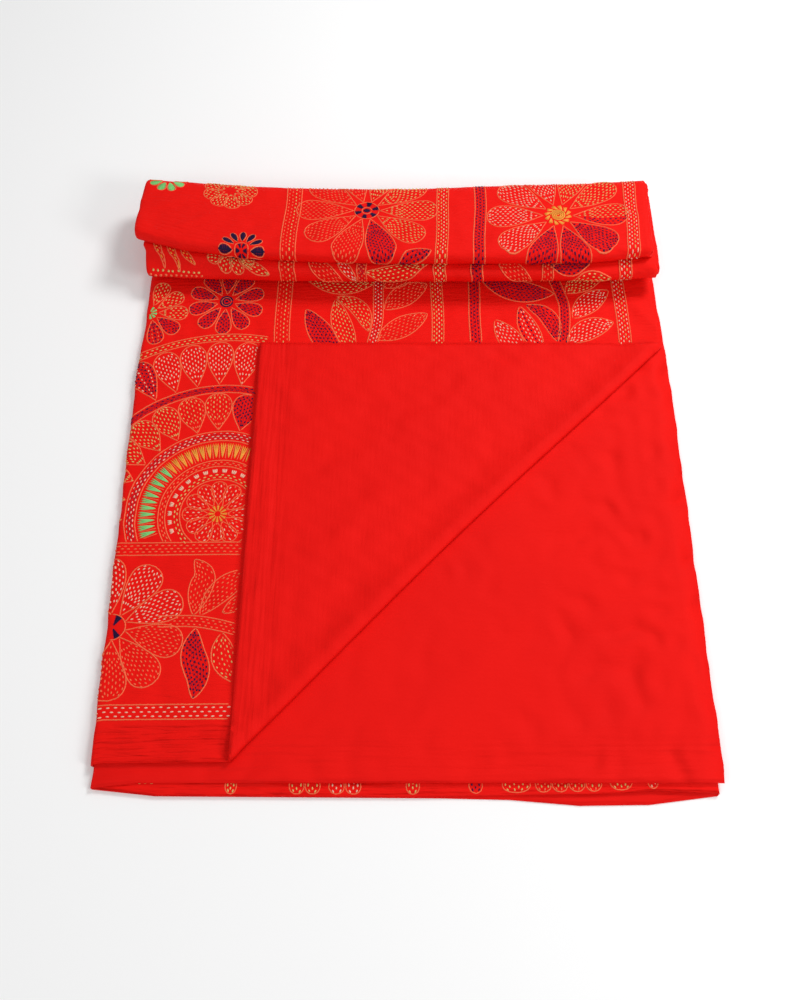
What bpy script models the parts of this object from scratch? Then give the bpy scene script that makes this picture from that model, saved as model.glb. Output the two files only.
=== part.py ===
"""A kantha quilt, folded: four layers wide, laid back and forth at its far end, one corner turned back.

The quilt is one stitched sheet. It is drawn flat as a thin slab, scored along every fold line, and then
folded by formula. The cloth's first coordinate runs across the quilt from the free edge of the top layer,
and its second runs from the front hem to the far hem. Metres, +Z up, the viewer at -Y.
"""

import math
from collections import namedtuple

import bmesh
import bpy
import numpy as np

# The cloth and the pack of layers that it is folded into
CLOTH = 0.0016
LAYER_GAP = 0.0005
LAYER_PITCH = CLOTH + LAYER_GAP
STACK_WIDTH = 0.576
SIDE = STACK_WIDTH / 2
PACK_HALF = 1.5 * LAYER_PITCH + CLOTH / 2

# The free side edges and the right-hand fold of the lower pair, measured from the middle of the stack
TOP_EDGE_X = 0.2850
SECOND_EDGE_X = 0.2875
LOWER_FOLD_X = 0.2830

# The back-and-forth section: how far back each rear turn and each front turn has its centre
RUN_PITCH = 4 * LAYER_PITCH
TURN_RADIUS = RUN_PITCH / 2
FLAT_END_Y = 0.501
REAR_TURNS = (0.610, 0.614, 0.612)
FRONT_TURNS = (0.545, 0.522, 0.533)
TAIL_RADIUS = 0.012
TAIL_LINE_Y = 0.6267
TAIL_CLEARANCE = 0.0015

# The corner of the top layer, turned back over a slanting fold
CORNER_START_X = -0.1660
CORNER_END_Y = 0.4460
CORNER_BOW = 0.0050
CORNER_BOW_REACH = 0.100
CORNER_RADIUS = 0.0022
CORNER_SETTLES_OVER = 0.035
CORNER_CLEAR = 0.010
SIDE_FOLD_CLEAR = 0.010

# Where each layer's front hem lies, ahead of the top layer's
Hem = namedtuple("Hem", "layer x ahead")
FRONT_HEMS = (
    Hem("top", 0.280, 0.000),
    Hem("top", -0.280, 0.001),
    Hem("bottom", -0.274, 0.006),
    Hem("bottom", -0.240, 0.029),
    Hem("bottom", 0.080, 0.034),
    Hem("bottom", 0.180, 0.043),
    Hem("bottom", 0.275, 0.037),
    Hem("third", 0.273, 0.027),
    Hem("third", 0.170, 0.031),
    Hem("third", 0.000, 0.032),
    Hem("third", -0.265, 0.029),
    Hem("second", -0.271, 0.018),
    Hem("second", 0.280, 0.023),
)
HEM_BLEND = 0.110

# How unevenly the stack lies, from its left side to its right
Lean = namedtuple("Lean", "x front rear")
BAND_LEANS = (
    Lean(-0.300, 0.042, 0.018),
    Lean(-0.232, 0.021, 0.012),
    Lean(-0.170, 0.010, 0.006),
    Lean(-0.080, 0.003, 0.001),
    Lean(0.020, 0.000, 0.000),
    Lean(0.120, -0.001, 0.004),
    Lean(0.220, 0.002, 0.006),
    Lean(0.285, 0.012, 0.010),
)
BAND_FRONT_Y = 0.505
BAND_DEPTH = 0.125
BAND_FOOT_Z = 0.018
BAND_FULL_Z = 0.040
REAR_FLATTENING = 0.10
TOP_RUN_Z = 0.036
TOP_RUN_FULL_Z = 0.048
TOP_DRIFT = 0.011
REAR_DRIFT_SHARE = 0.55
DRAWN_IN = 0.012
DRAWN_IN_FROM_Y = 0.40
DRAWN_IN_FULL_Y = 0.51
FRONT_GAPE = 0.0016
GAPE_DEPTH = 0.12
RIGHT_GAPE_X = (0.05, 0.17)
LEFT_GAPE_X = (-0.10, -0.18)

# How finely each stretch of cloth is divided
LAYER_STEPS = 8
FOLD_STEPS = 4
RUN_STEPS = 2
FRONT_STEPS = 3
FLAT_STEPS = 4
CORNER_STEPS = 4
SETTLING_SHARES = (0.35, 0.7, 1.0)


def ramp(value, start, end):
    """From 0 at the start to 1 at the end, level at both."""
    share = np.clip((value - start) / (end - start), 0.0, 1.0)
    return share * share * (3 - 2 * share)


class Route:
    """A flat line of straight runs and round turns, read by the length along it."""

    def __init__(self, start, heading):
        self.point = np.array(start, float)
        self.heading = heading
        self.pieces = []
        self.length = 0.0

    def straight(self, length, steps):
        self._add(length, 0.0, steps)

    def turn(self, radius, angle, steps):
        self._add(radius * abs(angle), angle / (radius * abs(angle)), steps)

    def _add(self, length, bend, steps):
        self.pieces.append((self.length, length, bend, steps, self.point, self.heading))
        end, self.heading = self._along(length, bend, self.point, self.heading)
        self.point = end
        self.length += length

    @staticmethod
    def _along(distance, bend, point, heading):
        """The point and heading a distance along one piece."""
        turned = heading + bend * distance
        if bend == 0:
            step = np.stack([np.cos(turned), np.sin(turned)], -1) * np.asarray(distance)[..., None]
        else:
            swing = [np.sin(turned) - math.sin(heading), math.cos(heading) - np.cos(turned)]
            step = np.stack(swing, -1) / bend
        return point + step, turned

    def at(self, length):
        """Points along the line, and the unit vectors to the left of it."""
        length = np.asarray(length, float)
        points = np.zeros(length.shape + (2,))
        headings = np.zeros(length.shape)
        for start, reach, bend, _, point, heading in self.pieces:
            here = length >= start - 1e-9
            found, turned = self._along(length[here] - start, bend, point, heading)
            points[here] = found
            headings[here] = turned
        return points, np.stack([-np.sin(headings), np.cos(headings)], -1)

    def divisions(self):
        """Every length at which the line is scored."""
        marks = []
        for start, reach, _, steps, _, _ in self.pieces:
            marks += [start + reach * i / steps for i in range(steps)]
        return marks + [self.length]


def across_route():
    """The stack seen from its front: the top layer, round under the left to the bottom layer, and inwards."""
    outer = 1.5 * LAYER_PITCH
    inner = 0.5 * LAYER_PITCH
    left_turn_x = -SIDE + outer + CLOTH / 2
    right_turn_x = LOWER_FOLD_X - inner - CLOTH / 2
    route = Route((TOP_EDGE_X, outer), math.pi)
    route.straight(TOP_EDGE_X - left_turn_x, LAYER_STEPS)
    route.turn(outer, math.pi, FOLD_STEPS)
    route.straight(right_turn_x - left_turn_x, LAYER_STEPS)
    route.turn(inner, math.pi, FOLD_STEPS)
    route.straight(right_turn_x - left_turn_x, LAYER_STEPS)
    route.turn(inner, -math.pi, FOLD_STEPS)
    route.straight(SECOND_EDGE_X - left_turn_x, LAYER_STEPS)
    return route


def along_route():
    """The stack seen from its side: flat from the front, then back and forth, and down behind."""
    route = Route((0.0, PACK_HALF), 0.0)
    route.straight(HEM_BLEND, FRONT_STEPS)
    route.straight(FLAT_END_Y - HEM_BLEND, FLAT_STEPS)
    for rear, front in zip(REAR_TURNS, FRONT_TURNS):
        route.straight(rear - route.point[0], RUN_STEPS)
        route.turn(TURN_RADIUS, math.pi, FOLD_STEPS)
        route.straight(route.point[0] - front, RUN_STEPS)
        route.turn(TURN_RADIUS, -math.pi, FOLD_STEPS)
    route.straight(TAIL_LINE_Y - TAIL_RADIUS - route.point[0], RUN_STEPS)
    route.turn(TAIL_RADIUS, -math.pi / 2, FOLD_STEPS)
    route.straight(route.point[1] - TAIL_CLEARANCE, RUN_STEPS)
    return route


ACROSS = across_route()
ALONG = along_route()
LAYER_PIECES = {"top": 0, "bottom": 2, "third": 4, "second": 6}


def cloth_across(layer, x):
    """The cloth's first coordinate at a layer's x."""
    start, _, _, _, point, heading = ACROSS.pieces[LAYER_PIECES[layer]]
    return start + (x - point[0]) * math.cos(heading)


def hem_ahead(across):
    """How far ahead of the top layer's front hem the cloth's own hem lies."""
    marks = [cloth_across(hem.layer, hem.x) for hem in FRONT_HEMS]
    return np.interp(across, marks, [hem.ahead for hem in FRONT_HEMS])


def turn_corner_back(x, y, height):
    """Folds what lies past the slanting line over onto the layer, then bows the line and what lies by it."""
    slant = np.array([TOP_EDGE_X - CORNER_START_X, CORNER_END_Y])
    reach = np.linalg.norm(slant)
    slant /= reach
    out = np.array([slant[1], -slant[0]])
    past = (x - CORNER_START_X) * out[0] + y * out[1]
    bent = np.clip(past / CORNER_RADIUS, 0.0, math.pi)
    beyond = np.maximum(past - math.pi * CORNER_RADIUS, 0.0)
    moved = np.where(past > 0, (CORNER_RADIUS - height) * np.sin(bent) - beyond - past, 0.0)
    sink = (2 * CORNER_RADIUS - LAYER_PITCH) * ramp(beyond, 0.0, CORNER_SETTLES_OVER)
    rise = np.where(past > 0, CORNER_RADIUS - (CORNER_RADIUS - height) * np.cos(bent) - height - sink, 0.0)
    x, y = x + moved * out[0], y + moved * out[1]
    past = (x - CORNER_START_X) * out[0] + y * out[1]
    share = np.clip(((x - CORNER_START_X) * slant[0] + y * slant[1]) / reach, 0.0, 1.0)
    bow = CORNER_BOW * np.sin(math.pi * share) ** 2 * np.exp(-((past / CORNER_BOW_REACH) ** 2))
    return x - bow * out[0], y - bow * out[1], rise


def lie_unevenly(x, y, z):
    """Shears and small stretches that no two points share, so layers that lie apart stay apart."""
    band = ramp(z, BAND_FOOT_Z, BAND_FULL_Z)
    back = ramp(y, BAND_FRONT_Y, BAND_FRONT_Y + BAND_DEPTH)
    leans_x = [lean.x for lean in BAND_LEANS]
    front = np.interp(x, leans_x, [lean.front for lean in BAND_LEANS])
    rear = np.interp(x, leans_x, [lean.rear for lean in BAND_LEANS])
    drawn_in = DRAWN_IN * ramp(y, DRAWN_IN_FROM_Y, DRAWN_IN_FULL_Y)
    drift = TOP_DRIFT * ramp(z, TOP_RUN_Z, TOP_RUN_FULL_Z) * (1 - (1 - REAR_DRIFT_SHARE) * back)
    x_moved = x * (1 - drawn_in) - drift
    y_moved = y + band * (front + (rear - front) * back)
    near_hem = 1 - ramp(y_moved, 0.0, GAPE_DEPTH)
    above_bottom = ramp(z, CLOTH, LAYER_PITCH)
    above_second = ramp(z, 3 * LAYER_PITCH - LAYER_GAP, 3 * LAYER_PITCH)
    lower_right = near_hem * ramp(x, *RIGHT_GAPE_X) * above_bottom
    upper_left = near_hem * ramp(x, *LEFT_GAPE_X) * above_second
    z_moved = z * (1 - REAR_FLATTENING * back) + FRONT_GAPE * (lower_right + upper_left)
    return x_moved, y_moved, z_moved


def folded(across, along, height):
    """Where a point of the flat cloth lies once it is folded. Height runs towards the stitched face."""
    section, section_left = ACROSS.at(across)
    x = section[:, 0] - section_left[:, 0] * height
    level = section[:, 1] - section_left[:, 1] * height
    hem = hem_ahead(across) * (1 - ramp(along, 0.0, HEM_BLEND))
    on_top = across < cloth_across("top", -SIDE + SIDE_FOLD_CLEAR)
    turned_x, turned_y, rise = turn_corner_back(x, along, height)
    turned_back = on_top & (along < CORNER_END_Y + CORNER_CLEAR)
    side, side_left = ALONG.at(np.maximum(along, 0.0))
    y = side[:, 0] + side_left[:, 0] * level - hem
    z = side[:, 1] + side_left[:, 1] * level
    x = np.where(turned_back, turned_x, x)
    y = np.where(turned_back, y - along + turned_y, y)
    z = np.where(turned_back, z + rise, z)
    return np.stack(lie_unevenly(x, y, z), -1)


def scored_slab():
    """The quilt laid flat, scored where it will bend: a slab in the cloth's own coordinates."""
    mesh = bmesh.new()
    bmesh.ops.create_cube(mesh, size=1.0)
    bmesh.ops.translate(mesh, verts=mesh.verts, vec=(0.5, 0.5, 0.0))
    bmesh.ops.scale(mesh, verts=mesh.verts, vec=(ACROSS.length, ALONG.length, CLOTH))
    slant = np.array([TOP_EDGE_X - CORNER_START_X, CORNER_END_Y])
    slant /= np.linalg.norm(slant)
    cuts = [((mark, 0, 0), (1, 0, 0)) for mark in ACROSS.divisions()[1:-1]]
    cuts += [((0, mark, 0), (0, 1, 0)) for mark in ALONG.divisions()[1:-1]]
    corner_x = TOP_EDGE_X - CORNER_START_X
    bends = [math.pi * CORNER_RADIUS * i / CORNER_STEPS for i in range(CORNER_STEPS + 1)]
    bends += [bends[-1] + CORNER_SETTLES_OVER * share for share in SETTLING_SHARES]
    for bend in bends:
        cuts.append(((corner_x - bend * slant[1], -bend * slant[0], 0), (slant[1], slant[0], 0)))
    for point, normal in cuts:
        geometry = mesh.verts[:] + mesh.edges[:] + mesh.faces[:]
        bmesh.ops.bisect_plane(mesh, geom=geometry, dist=1e-6, plane_co=point, plane_no=normal)
    return mesh


def fold_quilt():
    """The one solid of the folded quilt, centred over the origin."""
    mesh = scored_slab()
    flat = np.array([vert.co for vert in mesh.verts])
    points = folded(flat[:, 0], flat[:, 1], flat[:, 2])
    low, high = points.min(0), points.max(0)
    centre = np.array([(low[0] + high[0]) / 2, (low[1] + high[1]) / 2, low[2]])
    for vert, point in zip(mesh.verts, points - centre):
        vert.co = point
    bmesh.ops.triangulate(mesh, faces=mesh.faces)
    bmesh.ops.recalc_face_normals(mesh, faces=mesh.faces)
    data = bpy.data.meshes.new("quilt")
    mesh.to_mesh(data)
    mesh.free()
    data.shade_smooth()
    data.set_sharp_from_angle(angle=math.radians(40))
    quilt = bpy.data.objects.new("quilt", data)
    bpy.context.scene.collection.objects.link(quilt)
    print("flat size:", round(ACROSS.length, 3), "x", round(ALONG.length, 3), "m")
    print("centre taken off:", [round(float(value), 5) for value in centre])
    return quilt


def red_cloth():
    """Red cotton with a faint silk gloss."""
    material = bpy.data.materials.new("red_cloth")
    material.use_nodes = True
    shader = material.node_tree.nodes["Principled BSDF"]
    shader.inputs["Base Color"].default_value = (0.74, 0.008, 0.008, 1)
    shader.inputs["Roughness"].default_value = 0.7
    shader.inputs["Metallic"].default_value = 0.0
    return material


def main():
    for thing in list(bpy.data.objects):
        bpy.data.objects.remove(thing)
    quilt = fold_quilt()
    quilt.data.materials.append(red_cloth())


main()
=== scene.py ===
"""A red kantha quilt, folded: the cloth on its own folds, and the embroidery that covers it.

The quilt lies as four layers, with the far end laid back and forth and one corner turned back. The cloth is
one thin sheet, drawn flat and then folded with the same measurements as the solid. Its thread is sewn in the
flat cloth's own coordinates and folded with it: x runs across the top layer, and along runs from the front
hem to the far hem. Metres, +Z up, the viewer at -Y.
"""

import math
from collections import namedtuple

import bmesh
import bpy
import numpy as np
from mathutils import Matrix, Vector


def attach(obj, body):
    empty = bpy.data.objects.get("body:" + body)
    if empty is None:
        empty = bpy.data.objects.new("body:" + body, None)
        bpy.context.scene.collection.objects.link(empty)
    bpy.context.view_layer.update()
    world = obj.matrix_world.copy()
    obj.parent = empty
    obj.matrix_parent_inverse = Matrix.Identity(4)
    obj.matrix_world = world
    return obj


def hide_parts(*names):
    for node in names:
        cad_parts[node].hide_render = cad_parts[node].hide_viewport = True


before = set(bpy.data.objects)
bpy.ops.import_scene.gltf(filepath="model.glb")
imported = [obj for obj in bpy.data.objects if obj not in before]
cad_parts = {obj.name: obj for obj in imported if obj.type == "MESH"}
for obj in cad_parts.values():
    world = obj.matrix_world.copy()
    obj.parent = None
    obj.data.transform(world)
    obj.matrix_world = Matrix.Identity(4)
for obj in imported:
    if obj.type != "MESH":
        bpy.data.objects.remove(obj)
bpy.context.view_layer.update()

# The cloth, and the pack of layers that it is folded into
CENTRE = np.array([-0.00379, 0.30308, 0.0])
CLOTH = 0.0016
LAYER_GAP = 0.0005
LAYER_PITCH = CLOTH + LAYER_GAP
SIDE = 0.288
PACK_HALF = 1.5 * LAYER_PITCH + CLOTH / 2
TOP_EDGE_X = 0.2850
SECOND_EDGE_X = 0.2875
LOWER_FOLD_X = 0.2830

# The back-and-forth section: where each rear turn and each front turn has its centre
TURN_RADIUS = 2 * LAYER_PITCH
FLAT_END_Y = 0.501
REAR_TURNS = (0.610, 0.614, 0.612)
FRONT_TURNS = (0.545, 0.522, 0.533)
TAIL_RADIUS = 0.012
TAIL_LINE_Y = 0.6267
TAIL_CLEARANCE = 0.0015

# The corner that is turned back over a slanting fold
CORNER_START_X = -0.1660
CORNER_END_Y = 0.4460
CORNER_BOW = 0.0050
CORNER_BOW_REACH = 0.100
CORNER_RADIUS = 0.0022
CORNER_SETTLES_OVER = 0.035
CORNER_CLEAR = 0.010
SIDE_FOLD_CLEAR = 0.010

# Where each layer's front hem lies, ahead of the top layer's
Hem = namedtuple("Hem", "layer x ahead")
FRONT_HEMS = (
    Hem("top", 0.280, 0.000),
    Hem("top", -0.280, 0.001),
    Hem("bottom", -0.274, 0.006),
    Hem("bottom", -0.240, 0.029),
    Hem("bottom", 0.080, 0.034),
    Hem("bottom", 0.180, 0.043),
    Hem("bottom", 0.275, 0.037),
    Hem("third", 0.273, 0.027),
    Hem("third", 0.170, 0.031),
    Hem("third", 0.000, 0.032),
    Hem("third", -0.265, 0.029),
    Hem("second", -0.271, 0.018),
    Hem("second", 0.280, 0.023),
)
HEM_BLEND = 0.110

# How far the raised band leans out at its front and at its rear, from the stack's left side to its right
LEANS_X, FRONT_LEANS, REAR_LEANS = np.array(
    [
        (-0.300, 0.042, 0.018),
        (-0.232, 0.021, 0.012),
        (-0.170, 0.010, 0.006),
        (-0.080, 0.003, 0.001),
        (0.020, 0.000, 0.000),
        (0.120, -0.001, 0.004),
        (0.220, -0.001, 0.006),
        (0.285, 0.007, 0.010),
    ]
).T
BAND_FRONT_Y = 0.505
BAND_DEPTH = 0.125
BAND_FOOT_Z = 0.018
BAND_FULL_Z = 0.040
REAR_FLATTENING = 0.10
TOP_RUN_Z = 0.036
TOP_RUN_FULL_Z = 0.048
TOP_DRIFT = 0.011
REAR_DRIFT_SHARE = 0.55
DRAWN_IN = 0.012
DRAWN_IN_FROM_Y = 0.40
DRAWN_IN_FULL_Y = 0.51
FRONT_GAPE = 0.0016
GAPE_DEPTH = 0.12
RIGHT_GAPE_X = (0.05, 0.17)
LEFT_GAPE_X = (-0.10, -0.18)

# The waver of the side edges: each wave's size, its cycles a metre along, its turn with height, its start
EDGE_WAVES = (
    (0.00040, 9, 60, 0),
    (0.00032, 23, 90, 2),
    (0.00016, 43, 0, 4),
)
EDGE_FROM_X = 0.235
EDGE_FULL_X = 0.290


def ramp(value, start, end):
    """From 0 at the start to 1 at the end, level at both."""
    share = np.clip((value - start) / (end - start), 0.0, 1.0)
    return share * share * (3 - 2 * share)


class Route:
    """A flat line of straight runs and round turns, read by the length along it."""

    def __init__(self, start, heading):
        self.point = np.array(start, float)
        self.heading = heading
        self.pieces = []
        self.length = 0.0

    def straight(self, length):
        self._add(length, 0.0)

    def turn(self, radius, angle):
        self._add(radius * abs(angle), angle / (radius * abs(angle)))

    def _add(self, length, bend):
        self.pieces.append((self.length, length, bend, self.point, self.heading))
        self.point, self.heading = self._along(length, bend, self.point, self.heading)
        self.length += length

    @staticmethod
    def _along(distance, bend, point, heading):
        """The point and heading a distance along one piece."""
        turned = heading + bend * distance
        if bend == 0:
            step = np.stack([np.cos(turned), np.sin(turned)], -1) * np.asarray(distance)[..., None]
        else:
            swing = [np.sin(turned) - math.sin(heading), math.cos(heading) - np.cos(turned)]
            step = np.stack(swing, -1) / bend
        return point + step, turned

    def at(self, length):
        """Points along the line, and the unit vectors to the left of it. A hem may reach past either end."""
        length = np.asarray(length, float)
        points = np.zeros(length.shape + (2,))
        headings = np.zeros(length.shape)
        for number, (start, _, bend, point, heading) in enumerate(self.pieces):
            here = (length >= start - 1e-9) | (number == 0)
            found, turned = self._along(length[here] - start, bend, point, heading)
            points[here] = found
            headings[here] = turned
        return points, np.stack([-np.sin(headings), np.cos(headings)], -1)


def across_route():
    """The stack seen from its front: the top layer, round under the left to the bottom layer, and inwards."""
    outer = 1.5 * LAYER_PITCH
    inner = 0.5 * LAYER_PITCH
    left_turn_x = -SIDE + outer + CLOTH / 2
    right_turn_x = LOWER_FOLD_X - inner - CLOTH / 2
    route = Route((TOP_EDGE_X, outer), math.pi)
    route.straight(TOP_EDGE_X - left_turn_x)
    route.turn(outer, math.pi)
    route.straight(right_turn_x - left_turn_x)
    route.turn(inner, math.pi)
    route.straight(right_turn_x - left_turn_x)
    route.turn(inner, -math.pi)
    route.straight(SECOND_EDGE_X - left_turn_x)
    return route


def along_route():
    """The stack seen from its side: flat from the front, then back and forth, and down behind."""
    route = Route((0.0, PACK_HALF), 0.0)
    route.straight(FLAT_END_Y)
    for rear, front in zip(REAR_TURNS, FRONT_TURNS):
        route.straight(rear - route.point[0])
        route.turn(TURN_RADIUS, math.pi)
        route.straight(route.point[0] - front)
        route.turn(TURN_RADIUS, -math.pi)
    route.straight(TAIL_LINE_Y - TAIL_RADIUS - route.point[0])
    route.turn(TAIL_RADIUS, -math.pi / 2)
    route.straight(route.point[1] - TAIL_CLEARANCE)
    return route


ACROSS = across_route()
ALONG = along_route()
LAYER_PIECES = {"top": 0, "bottom": 2, "third": 4, "second": 6}


def cloth_across(layer, x):
    """The cloth's first coordinate at a layer's x."""
    start, _, _, point, heading = ACROSS.pieces[LAYER_PIECES[layer]]
    return start + (x - point[0]) * math.cos(heading)


def hem_ahead(across):
    """How far ahead of the top layer's front hem the cloth's own hem lies."""
    marks = [cloth_across(hem.layer, hem.x) for hem in FRONT_HEMS]
    return np.interp(across, marks, [hem.ahead for hem in FRONT_HEMS])


SLANT = np.array([TOP_EDGE_X - CORNER_START_X, CORNER_END_Y])
SLANT_LENGTH = np.linalg.norm(SLANT)
SLANT = SLANT / SLANT_LENGTH
OUT = np.array([SLANT[1], -SLANT[0]])


def past_fold(x, y):
    """How far a point lies past the slanting fold, towards the corner."""
    return (x - CORNER_START_X) * OUT[0] + y * OUT[1]


def turn_corner_back(x, y, height):
    """Folds what lies past the slanting line over onto the layer, then bows the line and what lies by it."""
    past = past_fold(x, y)
    bent = np.clip(past / CORNER_RADIUS, 0.0, math.pi)
    beyond = np.maximum(past - math.pi * CORNER_RADIUS, 0.0)
    moved = np.where(past > 0, (CORNER_RADIUS - height) * np.sin(bent) - beyond - past, 0.0)
    sink = (2 * CORNER_RADIUS - LAYER_PITCH) * ramp(beyond, 0.0, CORNER_SETTLES_OVER)
    rise = np.where(past > 0, CORNER_RADIUS - (CORNER_RADIUS - height) * np.cos(bent) - height - sink, 0.0)
    x, y = x + moved * OUT[0], y + moved * OUT[1]
    past = past_fold(x, y)
    share = np.clip(((x - CORNER_START_X) * SLANT[0] + y * SLANT[1]) / SLANT_LENGTH, 0.0, 1.0)
    bow = CORNER_BOW * np.sin(math.pi * share) ** 2 * np.exp(-((past / CORNER_BOW_REACH) ** 2))
    return x - bow * OUT[0], y - bow * OUT[1], rise


def lie_unevenly(x, y, z):
    """Shears and small stretches that no two points share, so layers that lie apart stay apart."""
    band = ramp(z, BAND_FOOT_Z, BAND_FULL_Z)
    back = ramp(y, BAND_FRONT_Y, BAND_FRONT_Y + BAND_DEPTH)
    front = np.interp(x, LEANS_X, FRONT_LEANS)
    rear = np.interp(x, LEANS_X, REAR_LEANS)
    drawn_in = DRAWN_IN * ramp(y, DRAWN_IN_FROM_Y, DRAWN_IN_FULL_Y)
    drift = TOP_DRIFT * ramp(z, TOP_RUN_Z, TOP_RUN_FULL_Z) * (1 - (1 - REAR_DRIFT_SHARE) * back)
    x_moved = x * (1 - drawn_in) - drift
    y_moved = y + band * (front + (rear - front) * back)
    near_hem = 1 - ramp(y_moved, 0.0, GAPE_DEPTH)
    above_bottom = ramp(z, CLOTH, LAYER_PITCH)
    above_second = ramp(z, 3 * LAYER_PITCH - LAYER_GAP, 3 * LAYER_PITCH)
    lower_right = near_hem * ramp(x, *RIGHT_GAPE_X) * above_bottom
    upper_left = near_hem * ramp(x, *LEFT_GAPE_X) * above_second
    z_moved = z * (1 - REAR_FLATTENING * back) + FRONT_GAPE * (lower_right + upper_left)
    waver = sum(size * np.sin(math.tau * far * y + up * z + start) for size, far, up, start in EDGE_WAVES)
    return x_moved + waver * ramp(np.abs(x), EDGE_FROM_X, EDGE_FULL_X), y_moved, z_moved


def folded(across, along, height):
    """Where a point of the flat cloth lies once it is folded. Height runs towards the stitched face."""
    section, section_left = ACROSS.at(across)
    x = section[:, 0] - section_left[:, 0] * height
    level = section[:, 1] - section_left[:, 1] * height
    hem = hem_ahead(across) * (1 - ramp(along, 0.0, HEM_BLEND))
    on_top = across < cloth_across("top", -SIDE + SIDE_FOLD_CLEAR)
    turned_x, turned_y, rise = turn_corner_back(x, along, height)
    turned_back = on_top & (along < CORNER_END_Y + CORNER_CLEAR)
    side, side_left = ALONG.at(along)
    y = side[:, 0] + side_left[:, 0] * level - hem
    z = side[:, 1] + side_left[:, 1] * level
    x = np.where(turned_back, turned_x, x)
    y = np.where(turned_back, y - along + turned_y, y)
    z = np.where(turned_back, z + rise, z)
    return np.stack(lie_unevenly(x, y, z), -1) - CENTRE


# Soft creases: where each one's middle lies, the way it runs in degrees, its size and height
Crease = namedtuple("Crease", "x along turned length width height")
FACE_CREASES = (
    Crease(-0.205, 0.030, 4, 0.060, 0.0040, -0.0007),
    Crease(-0.215, 0.022, 176, 0.075, 0.0035, -0.0005),
    Crease(-0.190, 0.012, 8, 0.040, 0.0040, 0.0006),
    Crease(-0.250, 0.016, 170, 0.050, 0.0045, 0.0005),
    Crease(-0.262, 0.395, 62, 0.070, 0.0060, 0.0007),
    Crease(-0.270, 0.345, 75, 0.060, 0.0050, -0.0004),
    Crease(-0.240, 0.470, 20, 0.070, 0.0060, 0.0006),
    Crease(-0.255, 0.305, 84, 0.050, 0.0060, 0.0005),
    Crease(-0.245, 0.080, 80, 0.060, 0.0070, 0.0005),
    Crease(0.060, 0.500, 92, 0.050, 0.0050, 0.0004),
    Crease(0.265, 0.490, 118, 0.060, 0.0055, 0.0009),
    Crease(0.255, 0.470, 104, 0.055, 0.0045, -0.0005),
    Crease(0.275, 0.515, 130, 0.040, 0.0050, 0.0008),
    Crease(-0.050, 0.478, 88, 0.040, 0.0060, 0.0004),
    Crease(0.215, 0.455, 60, 0.040, 0.0050, 0.0004),
    Crease(-0.080, 1.132, 84, 0.070, 0.0060, 0.0005),
    Crease(0.075, 1.122, 95, 0.080, 0.0060, 0.0005),
    Crease(0.120, 1.102, 20, 0.050, 0.0050, 0.0004),
    Crease(-0.225, 1.112, 40, 0.070, 0.0060, 0.0008),
    Crease(-0.250, 1.142, 28, 0.060, 0.0060, 0.0007),
    Crease(0.262, 1.122, 100, 0.080, 0.0060, 0.0006),
    Crease(0.010, 0.887, 2, 0.120, 0.0040, 0.0004),
    Crease(0.220, 0.884, 176, 0.100, 0.0040, 0.0005),
)
FLAP_CREASES = (
    Crease(0.020, 0.0165, 1, 0.420, 0.0045, 0.0009),
    Crease(0.170, 0.0120, 178, 0.240, 0.0045, 0.0007),
    Crease(0.060, 0.095, 44, 0.260, 0.0120, 0.0010),
    Crease(0.020, 0.030, 38, 0.120, 0.0100, 0.0009),
    Crease(0.150, 0.120, 52, 0.170, 0.0110, 0.0012),
    Crease(0.205, 0.200, 40, 0.130, 0.0100, 0.0009),
    Crease(0.245, 0.265, 58, 0.120, 0.0090, 0.0010),
    Crease(0.110, 0.030, 12, 0.120, 0.0100, 0.0008),
    Crease(0.185, 0.060, 70, 0.110, 0.0090, 0.0008),
    Crease(0.240, 0.110, 95, 0.120, 0.0110, 0.0009),
    Crease(0.225, 0.030, 150, 0.080, 0.0080, 0.0008),
    Crease(0.262, 0.330, 80, 0.090, 0.0080, 0.0008),
    Crease(-0.030, 0.025, 60, 0.070, 0.0080, 0.0007),
    Crease(0.165, 0.010, 100, 0.050, 0.0060, 0.0006),
)
UNDER_CREASES = (
    Crease(0.020, 0.060, 35, 0.150, 0.0090, 0.0009),
    Crease(0.090, 0.110, 48, 0.140, 0.0080, 0.0010),
    Crease(0.160, 0.090, 20, 0.160, 0.0090, 0.0009),
    Crease(0.205, 0.180, 70, 0.140, 0.0080, 0.0009),
    Crease(0.245, 0.120, 100, 0.130, 0.0090, 0.0010),
    Crease(0.255, 0.260, 84, 0.130, 0.0080, 0.0009),
    Crease(0.120, 0.030, 5, 0.160, 0.0080, 0.0009),
    Crease(-0.040, 0.030, 12, 0.120, 0.0080, 0.0008),
    Crease(0.220, 0.040, 160, 0.090, 0.0070, 0.0009),
)
HEM_WIDTH = 0.009
HEM_HEIGHT = 0.0008
FACE_LIFT = 0.0005
FACE_UNEVEN = 0.0004
FLAP_LIFT = 0.0010
FLAP_UNEVEN = 0.0009
UNDER_UNEVEN = 0.0007
CREASE_STRENGTH = 1.5
FLAP_ROLL_AT = 0.011
FLAP_ROLL_WIDTH = 0.009
FLAP_ROLL_HEIGHT = 0.0016
FLAP_HOLLOW_AT = 0.038
FLAP_HOLLOW_WIDTH = 0.014
FLAP_HOLLOW_DEPTH = 0.0014
FLAP_RISES_OVER = 0.012

# Where relief starts and stops, in lengths along the cloth: before the second lip, on it, and on the top run
FLAT_FADE = (0.522, 0.540)
SECOND_LIP_RISE = (0.865, 0.872)
SECOND_LIP_FADE = (0.892, 0.900)
TOP_RISE = (1.070, 1.076)

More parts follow.
